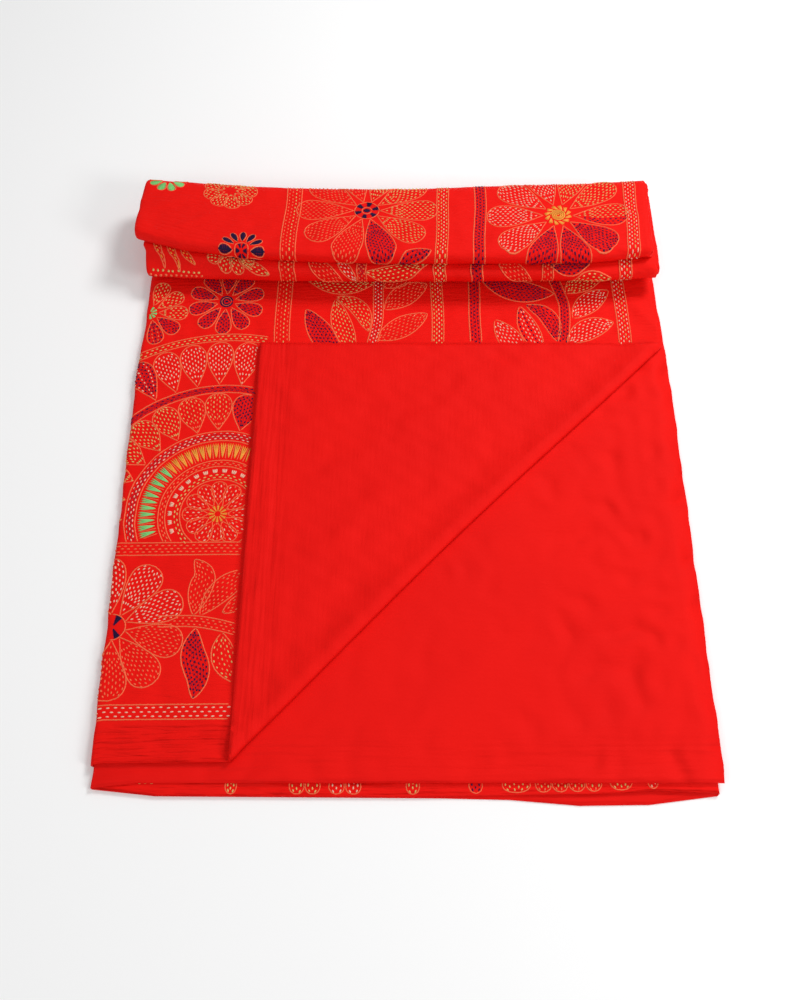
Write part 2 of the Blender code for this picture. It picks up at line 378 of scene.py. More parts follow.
# How deep under the turned-back corner, and how far from its slanting fold, relief fades
UNDER_FLAP_FADE = (-0.012, 0.002)
BARE_FROM_FOLD = (0.006, 0.030)
ROUND_SIDE_FOLD = 0.004

# Waves of the cloth's own unevenness: cycles a metre across and along, and where each wave starts
WAVES = (
    (9.0, 5.0, 0.3),
    (-6.0, 13.0, 1.9),
    (21.0, -8.0, 4.2),
    (13.0, 27.0, 2.7),
    (-31.0, 17.0, 5.1),
    (38.0, 29.0, 0.8),
)


def uneven(x, along):
    """Soft unevenness between 0 and 1."""
    total = sum(np.sin(math.tau * (across * x + far * along) + start) for across, far, start in WAVES)
    return 0.5 + total / (2 * len(WAVES))


def crease_relief(creases, x, along):
    """The height that a table of creases gives."""
    height = np.zeros(np.shape(x))
    for crease in creases:
        turned = math.radians(crease.turned)
        run = (x - crease.x) * math.cos(turned) + (along - crease.along) * math.sin(turned)
        aside = (along - crease.along) * math.cos(turned) - (x - crease.x) * math.sin(turned)
        fade = 1 - ramp(np.abs(run), 0.15 * crease.length, 0.55 * crease.length)
        height = height + crease.height * fade * np.exp(-((aside / crease.width) ** 2))
    return CREASE_STRENGTH * height


def under_flap(x, along):
    """How deep a point of the top layer lies under the turned-back corner, below 0 where it lies clear."""
    past = past_fold(x, along)
    back_x = x - 2 * past * OUT[0]
    back_along = along - 2 * past * OUT[1]
    return np.where(past > 0, SLANT_LENGTH, np.minimum(TOP_EDGE_X - back_x, back_along))


def hem_relief(across, along):
    """The turned-in edge of the back cloth: a raised margin along all four sides."""
    from_side = np.minimum(across, ACROSS.length - across)
    from_edge = np.minimum(from_side, np.minimum(along, ALONG.length - along))
    return HEM_HEIGHT * (1 - ramp(from_edge, 0.85 * HEM_WIDTH, 1.15 * HEM_WIDTH))


def shown_face(x, along):
    """1 where the top layer's face shows, down to 0 where it goes under a lip or the turned-back corner."""
    flat = (1 - ramp(under_flap(x, along), *UNDER_FLAP_FADE)) * (1 - ramp(along, *FLAT_FADE))
    second_lip = ramp(along, *SECOND_LIP_RISE) * (1 - ramp(along, *SECOND_LIP_FADE))
    return np.where(x > -SIDE - ROUND_SIDE_FOLD, flat + second_lip + ramp(along, *TOP_RISE), 0.0)


def hump(distance, middle, width):
    """A soft ridge, 1 high, a distance away from its middle."""
    return np.exp(-(((distance - middle) / width) ** 2))


def relief(across, along, on_face):
    """How far the cloth's skin stands off its solid."""
    x = TOP_EDGE_X - across
    waves = FACE_LIFT + FACE_UNEVEN * 2 * uneven(x, along)
    face = shown_face(x, along) * np.maximum(waves + crease_relief(FACE_CREASES, x, along), 0.0)

    past = past_fold(x, along)
    on_flap = (x > CORNER_START_X) & (along < CORNER_END_Y) & (past > 0)
    roll = FLAP_ROLL_HEIGHT * hump(past, FLAP_ROLL_AT, FLAP_ROLL_WIDTH)
    roll = roll - FLAP_HOLLOW_DEPTH * hump(past, FLAP_HOLLOW_AT, FLAP_HOLLOW_WIDTH)
    waves = FLAP_LIFT + FLAP_UNEVEN * 2 * uneven(1.3 * x, 1.1 * along)
    flap = (waves + roll + crease_relief(FLAP_CREASES, x, along)) * ramp(past, 0.0, FLAP_RISES_OVER)
    flap = np.maximum(flap, 0.0) + hem_relief(across, along)

    under_x = SECOND_EDGE_X - (ACROSS.length - across)
    bare = ramp(past_fold(under_x, along), *BARE_FROM_FOLD)
    on_second = (across > cloth_across("second", CORNER_START_X)) & (along < CORNER_END_Y)
    waves = UNDER_UNEVEN * 2 * uneven(0.9 * under_x, 1.2 * along)
    under = waves + crease_relief(UNDER_CREASES, under_x, along) + hem_relief(across, along)
    under = bare * np.maximum(under, 0.0)
    return np.where(on_face, face, np.where(on_flap, flap, 0.0) + np.where(on_second, under, 0.0))


def lay(across, along, side, lift):
    """Where a point lies on the folded cloth: side 1 is the stitched face, -1 the back and 0 the rim."""
    height = side * (CLOTH / 2 + relief(across, along, side > 0) + lift)
    return folded(across, along, height)


# How finely the cloth is divided: the finest step, and how many steps each piece of the long route takes
FINE = 0.0047
FINE_ACROSS_UNDER = 0.019
FINE_UP_TO = 0.545
PIECE_STEPS = (5, 4, 6, 4, 5, 4, 10, 2, 5, 3, 10, 17, 8, 8)
CORNER_CUTS = 6
CUT_MARGIN = 0.02
EXTRA_STOPS = {6: [(0.857, 3)], 8: [(0.902, 3), (0.930, 3)], 10: [(1.057, 4)]}


def marks(stretches):
    """Every division of a row of stretches, each given by its end and its number of steps."""
    found = [0.0]
    for end, steps in stretches:
        found += list(np.linspace(found[-1], end, steps + 1)[1:])
    return np.array(found)


def piece_ends(route):
    """Where each piece of a route ends."""
    return [start + length for start, length, _, _, _ in route.pieces]


def face_lengths():
    """Lengths measured on the stitched face, longer round each turn, and the cloth's own lengths there."""
    ends = piece_ends(ALONG)
    stretch = 1 + PACK_HALF / TURN_RADIUS
    middle = (ends[7] + ends[8]) / 2
    half = (ends[8] - ends[7]) / 2
    far_face = ends[13] + (1 + PACK_HALF / TAIL_RADIUS) * (ends[14] - ends[13])
    knots = [
        (0.0, 0.0),
        (0.6, 0.6),
        (middle - stretch * half, ends[7]),
        (middle + stretch * half, ends[8]),
        (middle + stretch * half + 0.05, ends[8] + 0.05),
        (ends[12] - stretch * (ends[12] - ends[11]), ends[11]),
        (ends[13], ends[13]),
        (far_face, ends[14]),
        (far_face + ends[15] - ends[14], ends[15]),
    ]
    return np.array(knots).T


def across_marks():
    top, left, bottom, right, third, inner, second = piece_ends(ACROSS)
    near = cloth_across("second", CORNER_START_X)
    return marks(
        [(top, round(top / FINE)), (left, 8), (bottom, 9), (right, 6), (third, 10), (inner, 4), (near, 3)]
        + [(second, round((second - near) / FINE_ACROSS_UNDER))]
    )


def along_marks():
    ends = piece_ends(ALONG)[1:]
    stretches = [(FINE_UP_TO, round(FINE_UP_TO / FINE)), (ends[0], 4)]
    for number, steps in enumerate(PIECE_STEPS, 1):
        stretches += EXTRA_STOPS.get(number, []) + [(ends[number], steps)]
    return marks(stretches)


RIM = 0.0007


def flat_cloth():
    """The sheet laid flat: a face and a back on one grid, joined round a rounded rim. Height is the side."""
    us, vs = across_marks(), along_marks()
    wide, far = len(us), len(vs)
    u, v = np.meshgrid(us, vs, indexing="ij")
    grid = np.arange(wide * far).reshape(wide, far)
    skin = np.stack([u.ravel(), v.ravel()], -1)
    quads = np.stack([grid[:-1, :-1], grid[1:, :-1], grid[1:, 1:], grid[:-1, 1:]], -1).reshape(-1, 4)
    loop = np.concatenate([grid[:, 0], grid[-1, 1:], grid[-2::-1, -1], grid[0, -2:0:-1]])
    rim = skin[loop].copy()
    middle = np.array([us[-1], vs[-1]]) / 2
    rim += RIM * np.where(np.abs(rim - middle) >= middle - 1e-9, np.sign(rim - middle), 0.0)
    count = len(skin)
    points = np.concatenate(
        [
            np.column_stack([skin, np.ones(count)]),
            np.column_stack([skin, -np.ones(count)]),
            np.column_stack([rim, np.zeros(len(rim))]),
        ]
    )
    after = np.roll(np.arange(len(loop)), -1)
    edge = 2 * count + np.arange(len(loop))
    upper = np.stack([loop, edge, edge[after], loop[after]], -1)
    lower = np.stack([edge, loop + count, loop[after] + count, edge[after]], -1)
    faces = np.concatenate([quads, quads[:, ::-1] + count, upper, lower])
    return points, faces


def score_corner(mesh):
    """Cuts the flat mesh along the lines at which the turned-back corner bends."""
    corner_x = TOP_EDGE_X - CORNER_START_X
    reach_x, reach_y = corner_x + CUT_MARGIN, CORNER_END_Y + CUT_MARGIN
    bends = [math.pi * CORNER_RADIUS * number / CORNER_CUTS for number in range(CORNER_CUTS + 1)]
    bends += [bends[-1] + CORNER_SETTLES_OVER * share for share in (0.2, 0.45)]
    for bend in bends:
        firsts = [(face, face.verts[0].co) for face in mesh.faces]
        near = [face for face, at in firsts if at.x < reach_x and at.y < reach_y]
        geometry = set(near)
        for face in near:
            geometry.update(face.verts)
            geometry.update(face.edges)
        bmesh.ops.bisect_plane(
            mesh,
            geom=list(geometry),
            dist=1e-6,
            plane_co=(corner_x - bend * SLANT[1], -bend * SLANT[0], 0),
            plane_no=(SLANT[1], SLANT[0], 0),
        )


def add_piece(name, data):
    piece = bpy.data.objects.new(name, data)
    bpy.context.scene.collection.objects.link(piece)
    return piece


def sew_cloth():
    """The quilt's cloth: drawn flat, scored for the corner, and folded."""
    points, faces = flat_cloth()
    data = bpy.data.meshes.new("quilt_cloth")
    data.from_pydata(points.tolist(), [], faces.tolist())
    mesh = bmesh.new()
    mesh.from_mesh(data)
    score_corner(mesh)
    bmesh.ops.triangulate(mesh, faces=mesh.faces)
    mesh.to_mesh(data)
    mesh.free()
    flat = np.zeros(len(data.vertices) * 3)
    data.vertices.foreach_get("co", flat)
    flat = flat.reshape(-1, 3)
    side = np.round(flat[:, 2])
    points = lay(flat[:, 0], flat[:, 1], side, 0.0)
    data.vertices.foreach_set("co", points.ravel())
    corners = np.zeros(len(data.loops), int)
    data.loops.foreach_get("vertex_index", corners)
    data.uv_layers.new(name="cloth_place").data.foreach_set("uv", flat[corners, :2].ravel())
    reverse = side[corners].reshape(-1, 3).mean(1) < -0.4
    data.materials.append(cloth_material("face_cloth", FACE_RED, FACE_RED_DEEP, 1.0, 1.0))
    data.materials.append(cloth_material("back_cloth", BACK_RED, BACK_RED_DEEP, 0.22, 0.35))
    data.polygons.foreach_set("material_index", reverse.astype(int))
    data.shade_smooth()
    data.update()
    return add_piece("quilt_cloth", data)


# Materials: colours, how far in the puckers and crinkles reach, and how deep each relief of the cloth is
FACE_RED = (0.84, 0.006, 0.003, 1)
FACE_RED_DEEP = (0.74, 0.004, 0.002, 1)
BACK_RED = (0.82, 0.006, 0.003, 1)
BACK_RED_DEEP = (0.70, 0.004, 0.003, 1)
PUCKER_REACH = (0.028, 0.042)
CRINKLE_REACH = (0.040, 0.170)
CRINKLES_ELSEWHERE = 0.3
CRUMPLE_DEPTH = 0.0130
RIPPLE_DEPTH = 0.0014
PUCKER_DEPTH = 0.0055
WEAVE_DEPTH = 0.00012
STRAND_DEPTH = 0.00015
THREAD_COLOURS = {
    "coral": (1.0, 0.175, 0.070),
    "cream": (0.96, 0.56, 0.40),
    "gold": (0.80, 0.50, 0.16),
    "green": (0.27, 0.72, 0.24),
    "orange": (0.95, 0.38, 0.05),
    "navy": (0.022, 0.004, 0.052),
    "wine": (0.60, 0.004, 0.017),
}
THREAD_DEEP_SHARE = 0.72


def add_node(tree, kind, values=(), fed=(), **settings):
    """A shader node: its settings, the values of its inputs, and what feeds them."""
    node = tree.nodes.new("ShaderNode" + kind)
    for name, value in settings.items():
        setattr(node, name, value)
    for name, value in dict(values).items():
        node.inputs[name].default_value = value
    for name, source in dict(fed).items():
        tree.links.new(source, node.inputs[name])
    return node


def new_group(name, labels):
    """A node group that reads a place and gives a number for each label, with its place and its end node."""
    group = bpy.data.node_groups.new(name, "ShaderNodeTree")
    group.interface.new_socket("Place", in_out="INPUT", socket_type="NodeSocketVector")
    for label in labels:
        group.interface.new_socket(label, in_out="OUTPUT", socket_type="NodeSocketFloat")
    taken = group.nodes.new("NodeGroupInput")
    return group, taken.outputs["Place"], group.nodes.new("NodeGroupOutput")


def weave_group():
    """Plain weave, the ripple that rows of quilting leave, crinkles, puckers by the hem, and a slow tint."""
    group, place, given = new_group("cloth_weave", ("Weave", "Ripple", "Crumple", "Pucker", "Tint"))
    parts = add_node(group, "SeparateXYZ", fed={0: place})

    def wave(direction):
        values = {"Scale": 520, "Distortion": 0.4, "Detail Scale": 2.0}
        bands = {"wave_type": "BANDS", "bands_direction": direction}
        return add_node(group, "TexWave", values, {"Vector": place}, **bands).outputs["Fac"]

    def noise(scale, detail, vector=place):
        return add_node(group, "TexNoise", {"Scale": scale, "Detail": detail}, {"Vector": vector})

    def stretched(scale):
        return add_node(group, "Mapping", {"Scale": scale}, {"Vector": place}).outputs["Vector"]

    def masked(source, axis, start, end, least):
        """A pattern kept where its mask goes from the least at the start to 1 at the end."""
        values = {"From Min": start, "From Max": end, "To Min": least}
        mask = add_node(group, "MapRange", values, {"Value": parts.outputs[axis]}).outputs["Result"]
        return add_node(group, "Math", fed={0: source, 1: mask}, operation="MULTIPLY").outputs[0]

    crumple = noise(30.0, 3.0)
    crumple.noise_type = "RIDGED_MULTIFRACTAL"
    crumple.inputs["Roughness"].default_value = 0.45
    pucker = noise(1.0, 1.5, stretched((13, 170, 1)))
    near_edge = [ACROSS.length - reach for reach in reversed(CRINKLE_REACH)]
    outputs = {
        "Weave": add_node(group, "Math", fed={0: wave("X"), 1: wave("Y")}, operation="MAXIMUM").outputs[0],
        "Ripple": noise(1.0, 2.0, stretched((45, 300, 1))).outputs["Fac"],
        "Crumple": masked(crumple.outputs["Fac"], "X", *near_edge, CRINKLES_ELSEWHERE),
        "Pucker": masked(pucker.outputs["Fac"], "Y", *reversed(PUCKER_REACH), 0.0),
        "Tint": noise(9.0, 3.0).outputs["Fac"],
    }
    for label, source in outputs.items():
        group.links.new(source, given.inputs[label])
    return group


def strand_group():
    """The twisted strands of a thread, from its length and the way round it, and a slow tint."""
    group, place, given = new_group("thread_strands", ("Strands", "Tint"))
    bands = {"wave_type": "BANDS", "bands_direction": "DIAGONAL"}
    strands = add_node(group, "TexWave", {"Scale": 220}, {"Vector": place}, **bands)
    where = add_node(group, "TexCoord").outputs["Object"]
    tint = add_node(group, "TexNoise", {"Scale": 160.0}, {"Vector": where})
    group.links.new(strands.outputs["Fac"], given.inputs["Strands"])
    group.links.new(tint.outputs["Fac"], given.inputs["Tint"])
    return group


WEAVE = weave_group()
STRANDS = strand_group()


def add_bump(tree, height, depth, strength, under=None):
    fed = {"Height": height, "Normal": under} if under else {"Height": height}
    return add_node(tree, "Bump", {"Distance": depth, "Strength": strength}, fed).outputs["Normal"]


def new_material(name, group, place_map, roughness, gloss, deep, colour, bumps):
    """A material whose shared group reads one map. Its tint goes from deep to full colour, over its bumps."""
    material = bpy.data.materials.new(name)
    material.use_nodes = True
    tree = material.node_tree
    shader = tree.nodes["Principled BSDF"]
    shader.inputs["Roughness"].default_value = roughness
    shader.inputs["Specular IOR Level"].default_value = gloss
    place = add_node(tree, "UVMap", uv_map=place_map).outputs["UV"]
    pattern = add_node(tree, "Group", fed={"Place": place}, node_tree=group).outputs
    mix = add_node(tree, "Mix", {"A": deep, "B": colour}, {"Factor": pattern["Tint"]}, data_type="RGBA")
    tree.links.new(mix.outputs["Result"], shader.inputs["Base Color"])
    normal = None
    for label, depth, strength in bumps:
        normal = add_bump(tree, pattern[label], depth, strength, normal)
    tree.links.new(normal, shader.inputs["Normal"])
    return material


def cloth_material(name, colour, deep, rippling, puckering):
    """Red cotton with a faint silk gloss, woven and rippled by its quilting."""
    bumps = (
        ("Crumple", CRUMPLE_DEPTH, 0.75),
        ("Ripple", RIPPLE_DEPTH, rippling),
        ("Pucker", PUCKER_DEPTH, puckering),
        ("Weave", WEAVE_DEPTH, 0.35),
    )
    return new_material(name, WEAVE, "cloth_place", 0.68, 0.09, deep, colour, bumps)


def thread_material(name, colour):
    """Soft cotton thread of one colour, a little lighter and darker along its length."""
    deep = tuple(THREAD_DEEP_SHARE * part for part in colour) + (1,)
    bumps = (("Strands", STRAND_DEPTH, 0.5),)
    return new_material(name, STRANDS, "thread_place", 0.6, 0.2, deep, colour + (1,), bumps)


# Sewing. Every stitch is a row of numbers: x, along, the way it runs, its length and width, and its layer
ON_TOP = 0
ON_THIRD = 1
OUTLINE_WIDTH = 0.0015
FINE_OUTLINE = 0.0012
OUTLINE_STEP = 0.00175
ROW_GAP = 0.0037
PITCH = 0.0058
STITCH = 0.0028
STITCH_WIDTH = 0.0015
GROUND_ROWS = {"gap": 0.0028, "pitch": 0.0062, "length": 0.0046, "width": 0.0012}
ROWS_ON_GROUND = {"gap": 0.0037, "pitch": 0.0049, "length": 0.0023, "width": 0.0018}
BAND_GROUND_ROWS = {"gap": 0.0021, "pitch": 0.0060, "length": 0.0050, "width": 0.0013}
EDGE_INSET = 0.0008
LEAST_HALF_WIDTH = 0.0011
ARC_STEP = 0.0015
LINE_POINTS = 48

# How unevenly a hand sews: a stitch's place along its row and beside it, its turn in degrees and its length
PITCH_SPREAD = 0.05
ASIDE_SPREAD = 0.0002
TURN_SPREAD = 3
SATIN_TURN_SPREAD = 2
LENGTH_SPREAD = 0.08

# What shows of the face, in lengths measured on it, and how far thread goes towards what hides it
FLAT_SHOWN = 0.541
LIP_START = 0.873
LIP_END = 0.905
TOP_START = 1.062
THIRD_SHOWN = (0.0005, 0.0125)
UNDER_FLAP_THREAD = 0.0015
ROUND_SIDE_THREAD = 0.0012
EDGE_MARGIN = 0.001
FACE_LENGTHS, CLOTH_LENGTHS = face_lengths()
chance = np.random.default_rng(7)
stitches = {}
outlines = {}

Shape = namedtuple("Shape", "axis halves")


def unit(turned):
    """The unit vector at an angle in degrees, from the right towards the far side."""
    return np.array([math.cos(math.radians(turned)), math.sin(math.radians(turned))])


def reaches(line):
    """The distance along a line at each of its points."""
    return np.concatenate([[0], np.cumsum(np.linalg.norm(np.diff(line, axis=0), axis=1))])


def along_line(reach, values, steps):
    """Values along a line, one or two numbers to a point, read at a row of distances."""
    if values.ndim == 1:
        return np.interp(steps, reach, values)
    return np.stack([np.interp(steps, reach, part) for part in values.T], -1)


def curve(points, count=LINE_POINTS):
    """A smooth line through a few points."""
    points = np.array(points, float)
    for _ in range(3):
        middles = 0.5 * (points[:-1] + points[1:])
        near = 0.5 * (points[:-1] + middles)
        far = 0.5 * (middles + points[1:])
        points = np.concatenate([points[:1], np.stack([near, far], 1).reshape(-1, 2), points[-1:]])
    reach = reaches(points)
    return along_line(reach, points, np.linspace(0, reach[-1], count))


def leaf(points, width):
    """A pointed leaf along a line of two or more points, widest in its middle."""
    axis = curve(points)
    share = np.linspace(0, 1, len(axis))
    return Shape(axis, width / 2 * np.sin(math.pi * share) ** 0.75)


def drop(centre, turned, near, reach, width, shoulder=0.74):
    """A petal that widens from its inner end to a round outer end."""
    share = np.linspace(0, 1, LINE_POINTS)
    axis = np.array(centre) + unit(turned) * (near + (reach - near) * share)[:, None]
    rising = np.sin(math.pi / 2 * np.minimum(share / shoulder, 1.0)) ** 1.1
    rounded = np.sqrt(np.maximum(1 - (np.maximum(share - shoulder, 0) / (1 - shoulder)) ** 2, 0))
    return Shape(axis, width / 2 * rising * rounded)


def ribbon(axis, width):
    """A band of one width."""
    return Shape(axis, np.full(len(axis), width / 2))


def arc(centre, radius, start=0, end=360):
    """Part of a circle, in degrees."""
    count = max(12, int(abs(end - start) * math.radians(1) * radius / ARC_STEP))
    turned = np.radians(np.linspace(start, end, count))
    return np.array(centre) + radius * np.stack([np.cos(turned), np.sin(turned)], -1)


def normals(axis):
    """Unit vectors to the left of a line at each of its points."""
    run = np.gradient(axis, axis=0)
    run /= np.maximum(np.linalg.norm(run, axis=1), 1e-9)[:, None]
    return np.stack([-run[:, 1], run[:, 0]], -1)


def shows(x, along, layer=ON_TOP):
    """True where thread on the cloth can be seen, or nearly."""
    flat = (along < FLAT_SHOWN) & (under_flap(x, along) < UNDER_FLAP_THREAD)
    on_lip = (along > LIP_START) & (along < LIP_END + np.interp(x, LEANS_X, FRONT_LEANS))
    within_sides = (x > -SIDE - ROUND_SIDE_THREAD) & (x < TOP_EDGE_X - EDGE_MARGIN)
    within_ends = (along > EDGE_MARGIN) & (along < FACE_LENGTHS[-1] - EDGE_MARGIN)
    on_top = within_sides & within_ends & (flat | on_lip | (along > TOP_START))
    return np.where(layer == ON_THIRD, (along > THIRD_SHOWN[0]) & (along < THIRD_SHOWN[1]), on_top)


def stitch_line(colour, line, width=OUTLINE_WIDTH, layer=ON_TOP):
    """A back-stitched line, wherever it shows."""
    reach = reaches(line)
    even = along_line(reach, line, np.arange(0, reach[-1], OUTLINE_STEP))
    seen = shows(even[:, 0], even[:, 1], layer)
    breaks = np.flatnonzero(np.diff(seen.astype(int))) + 1
    for part, visible in zip(np.split(even, breaks), np.split(seen, breaks)):
        if len(part) > 2 and visible[0]:
            outlines.setdefault(colour, []).append((part, width, layer))


def edge_shape(shape, colour="coral", closed=True, layer=ON_TOP, width=OUTLINE_WIDTH):
    """The line sewn round a shape, or down both sides of a band."""
    left = normals(shape.axis) * shape.halves[:, None]
    sides = [shape.axis + left, (shape.axis - left)[::-1]]
    for line in [np.concatenate(sides)] if closed else sides:
        stitch_line(colour, line, width, layer)


def add_stitches(colour, points, turned, length, width, layer=ON_TOP):
    """Keeps the stitches that show."""
    flat = np.ones(len(points))
    rows = np.column_stack([points, turned * flat, length * flat, width * flat, layer * flat])
    rows = rows[shows(rows[:, 0], rows[:, 1], rows[:, 5])]
    stitches.setdefault(colour, []).append(rows)


def sew_rows(shape, colours, gap=ROW_GAP, pitch=PITCH, length=STITCH, width=STITCH_WIDTH, layer=ON_TOP):
    """Running stitches in rows that follow a shape and draw together at its ends."""
    reach = reaches(shape.axis)
    left = normals(shape.axis)
    headings = np.unwrap(np.arctan2(-left[:, 0], left[:, 1]))
    spread = np.gradient(shape.halves, reach)
    rows = max(1, round(2 * shape.halves.max() / gap))
    for row in range(rows):
        share = (2 * row + 1) / rows - 1
        steps = np.arange(pitch * (0.35 + 0.5 * (row % 2)), reach[-1] - 0.3 * length, pitch)
        steps = steps + chance.normal(0, PITCH_SPREAD * pitch, len(steps))
        half = along_line(reach, shape.halves, steps)
        spacing = 2 * half / rows
        keep = (spacing > 0.62 * gap) | ((spacing > 0.3 * gap) & (row % 2 == 0)) | (row == rows // 2)
        keep = keep & (half > LEAST_HALF_WIDTH)
        steps, half = steps[keep], half[keep]
        aside = share * np.maximum(half - EDGE_INSET, 0) + chance.normal(0, ASIDE_SPREAD, len(steps))
        points = along_line(reach, shape.axis, steps) + aside[:, None] * along_line(reach, left, steps)
        turned = along_line(reach, headings, steps) + np.arctan(share * along_line(reach, spread, steps))
        turned = np.degrees(turned) + chance.normal(0, TURN_SPREAD, len(steps))
        lengths = length * (1 + chance.normal(0, LENGTH_SPREAD, len(steps)))
        add_stitches(colours[row % len(colours)], points, turned, lengths, width, layer)


def sew_satin(shape, colour, gap=0.0010):
    """Stitches laid side by side across a shape."""
    reach = reaches(shape.axis)
    steps = np.arange(0.6 * gap, reach[-1], gap)
    half = along_line(reach, shape.halves, steps)
    steps, half = steps[half > 0.0006], half[half > 0.0006]
    aside = along_line(reach, normals(shape.axis), steps)
    turned = np.degrees(np.arctan2(aside[:, 1], aside[:, 0]))
    turned = turned + chance.normal(0, SATIN_TURN_SPREAD, len(steps))
    add_stitches(colour, along_line(reach, shape.axis, steps), turned, 1.9 * half, 1.3 * gap)


def sew_motif(shape, colours, ground=None, closed=True):
    """A shape with its coral edge, its rows of stitches and, where it has one, its darker ground."""
    if ground:
        inner = Shape(shape.axis, np.maximum(shape.halves - EDGE_INSET, 0))
        sew_rows(inner, (ground,), **GROUND_ROWS)
        sew_rows(shape, colours, **ROWS_ON_GROUND)
    else:
        sew_rows(shape, colours)
    edge_shape(shape, closed=closed)


def sew_disc(colour, centre, radius, gap=0.0012):
    """A small round filled with stitches."""
    share = np.linspace(-1, 1, 25)
    axis = np.array(centre) + radius * share[:, None] * (1, 0)
    sew_satin(Shape(axis, radius * np.sqrt(1 - share**2)), colour, gap)


def sew_blocks(colour, centre, near, reach, width, turns):
    """Satin blocks set round a centre, each wider at its outer end."""
    for turned in turns:
        axis = np.array(centre) + unit(turned) * np.linspace(near, reach, 16)[:, None]
        sew_satin(Shape(axis, width / 2 * np.linspace(near, reach, 16) / reach), colour)


def sew_fan(colour, foot, turned, length, spread):
    """Three long stitches that open from one end."""
    for share in (-1, 0, 1):
        way = turned + share * spread
        add_stitches(colour, np.array([foot]) + unit(way) * length / 2, way, length, 0.0019)


CORAL, GOLD, CREAM, NAVY, ORANGE = ("coral",), ("gold",), ("cream",), ("navy",), ("orange",)
GOLD_OVER_NAVY = ("navy",) * 3 + ("gold",) * 6
NAVY_BY_GOLD = ("navy",) * 7 + ("gold",)

# The stripes that run the quilt's length, with their middles on the flat, on the second lip and on top
Stripe = namedtuple("Stripe", "flat lip top width colours ground", defaults=(None,))
STRIPES = (
    Stripe(-0.1340, -0.1270, -0.1155, 0.0165, ("coral", "gold", "coral")),
    Stripe(0.0390, 0.0420, 0.0537, 0.0130, ("gold", "cream", "gold")),
    Stripe(0.0812, 0.0845, 0.0957, 0.0125, NAVY, "wine"),
    Stripe(0.2459, 0.2490, 0.2663, 0.0134, ("cream", "gold", "cream")),
)
STRIPE_RUNS = ((0.440, 0.545), (LIP_START, 0.945), (TOP_START, 1.2310))


def sew_stripes():
    for stripe in STRIPES:
        middles = (stripe.flat, stripe.lip, stripe.lip, stripe.top)
        for start, end in STRIPE_RUNS:
            along = np.linspace(start, end, 60)
            x = np.interp(along, (0.545, LIP_START, 0.945, TOP_START), middles)
            x = x + 0.0006 * np.sin(along * 61 + stripe.flat * 90)
            band = ribbon(np.stack([x, along], -1), stripe.width)
            sew_motif(band, stripe.colours, stripe.ground, closed=False)


def petals(turns, colours, ground=None):
    """Petals sewn alike, each given by its angle, its stitch colours and its ground."""
    return [(turned, colours, ground) for turned in turns]


def sew_flower(centre, near, reach, width, parts):
    """A flower from a list of petals."""
    for turned, colours, ground in parts:
        sew_motif(drop(centre, turned, near, reach, width), colours, ground)


def sew_satin_petals(colour, centre, turns, near, reach, width):
    """Petals filled with satin stitch, each with a fine edge."""
    for turned in turns:
        shape = drop(centre, turned, near, reach, width, 0.65)
        sew_satin(shape, colour)
        edge_shape(shape, width=0.0014)


def sew_flower_with_checks():
    """The large flower with the checkered centre, on top at the left."""
    centre = (-0.0320, 1.1390)
    parts = petals((0, 36, 72, 324), GOLD) + petals((108, 144, 180, 216, 252), CORAL)
    parts += petals((288,), NAVY, "wine")
    sew_flower(centre, 0.0145, 0.0795, 0.0325, parts)
    sew_blocks("navy", centre, 0.0065, 0.0132, 0.0082, range(18, 378, 60))
    for radius in (0.0055, 0.0137):
        stitch_line("coral", arc(centre, radius))
    sew_disc("navy", centre, 0.0038)


def sew_flower_with_spiral():
    """The large flower with the coiled centre, on top at the right."""
    centre = (0.1835, 1.1260)
    parts = petals((-2,), GOLD_OVER_NAVY) + petals((36, 72), GOLD)
    parts += petals((108, 144, 180, 217), CREAM) + petals((252, 288, 322), NAVY, "wine")
    sew_flower(centre, 0.0165, 0.0800, 0.0330, parts)
    spiral = [(0.0012 + 0.0072 * i / 90) * unit(i * 14) + np.array(centre) for i in range(91)]
    stitch_line("orange", np.array(spiral), 0.0024)
    for turned in range(0, 360, 30):
        foot = np.array(centre) + 0.0090 * unit(turned)
        sew_fan("orange", foot, turned + 55, 0.0080, 12)


def sew_top_run():
    """The large flowers, the navy daisy at the lip and the small flowers at the far fold."""
    sew_flower_with_checks()
    sew_flower_with_spiral()
    daisy = (-0.1665, 1.0700)
    sew_satin_petals("navy", daisy, range(0, 360, 30), 0.0095, 0.0254, 0.0073)
    stitch_line("coral", arc(daisy, 0.0076), 0.0014)
    sew_blocks("navy", daisy, 0.0020, 0.0060, 0.0042, range(0, 360, 60))
    sew_flower((-0.1890, 1.1655), 0.0060, 0.0310, 0.0175, petals(range(0, 360, 40), GOLD))
    sew_satin_petals("green", (-0.2625, 1.1790), range(10, 370, 40), 0.0065, 0.0225, 0.0100)
    sew_motif(leaf([(0.0045, 1.0600), (0.0200, 1.0700), (0.0430, 1.0740)], 0.0125), NAVY, "wine")
    for along in (1.203, 1.213):
        sew_rows(ribbon(curve([(-0.285, along), (0.283, along)], 200), 0.0080), CORAL, gap=0.0040)
    stitch_line("coral", curve([(-0.285, 1.2200), (0.283, 1.2200)], 200))


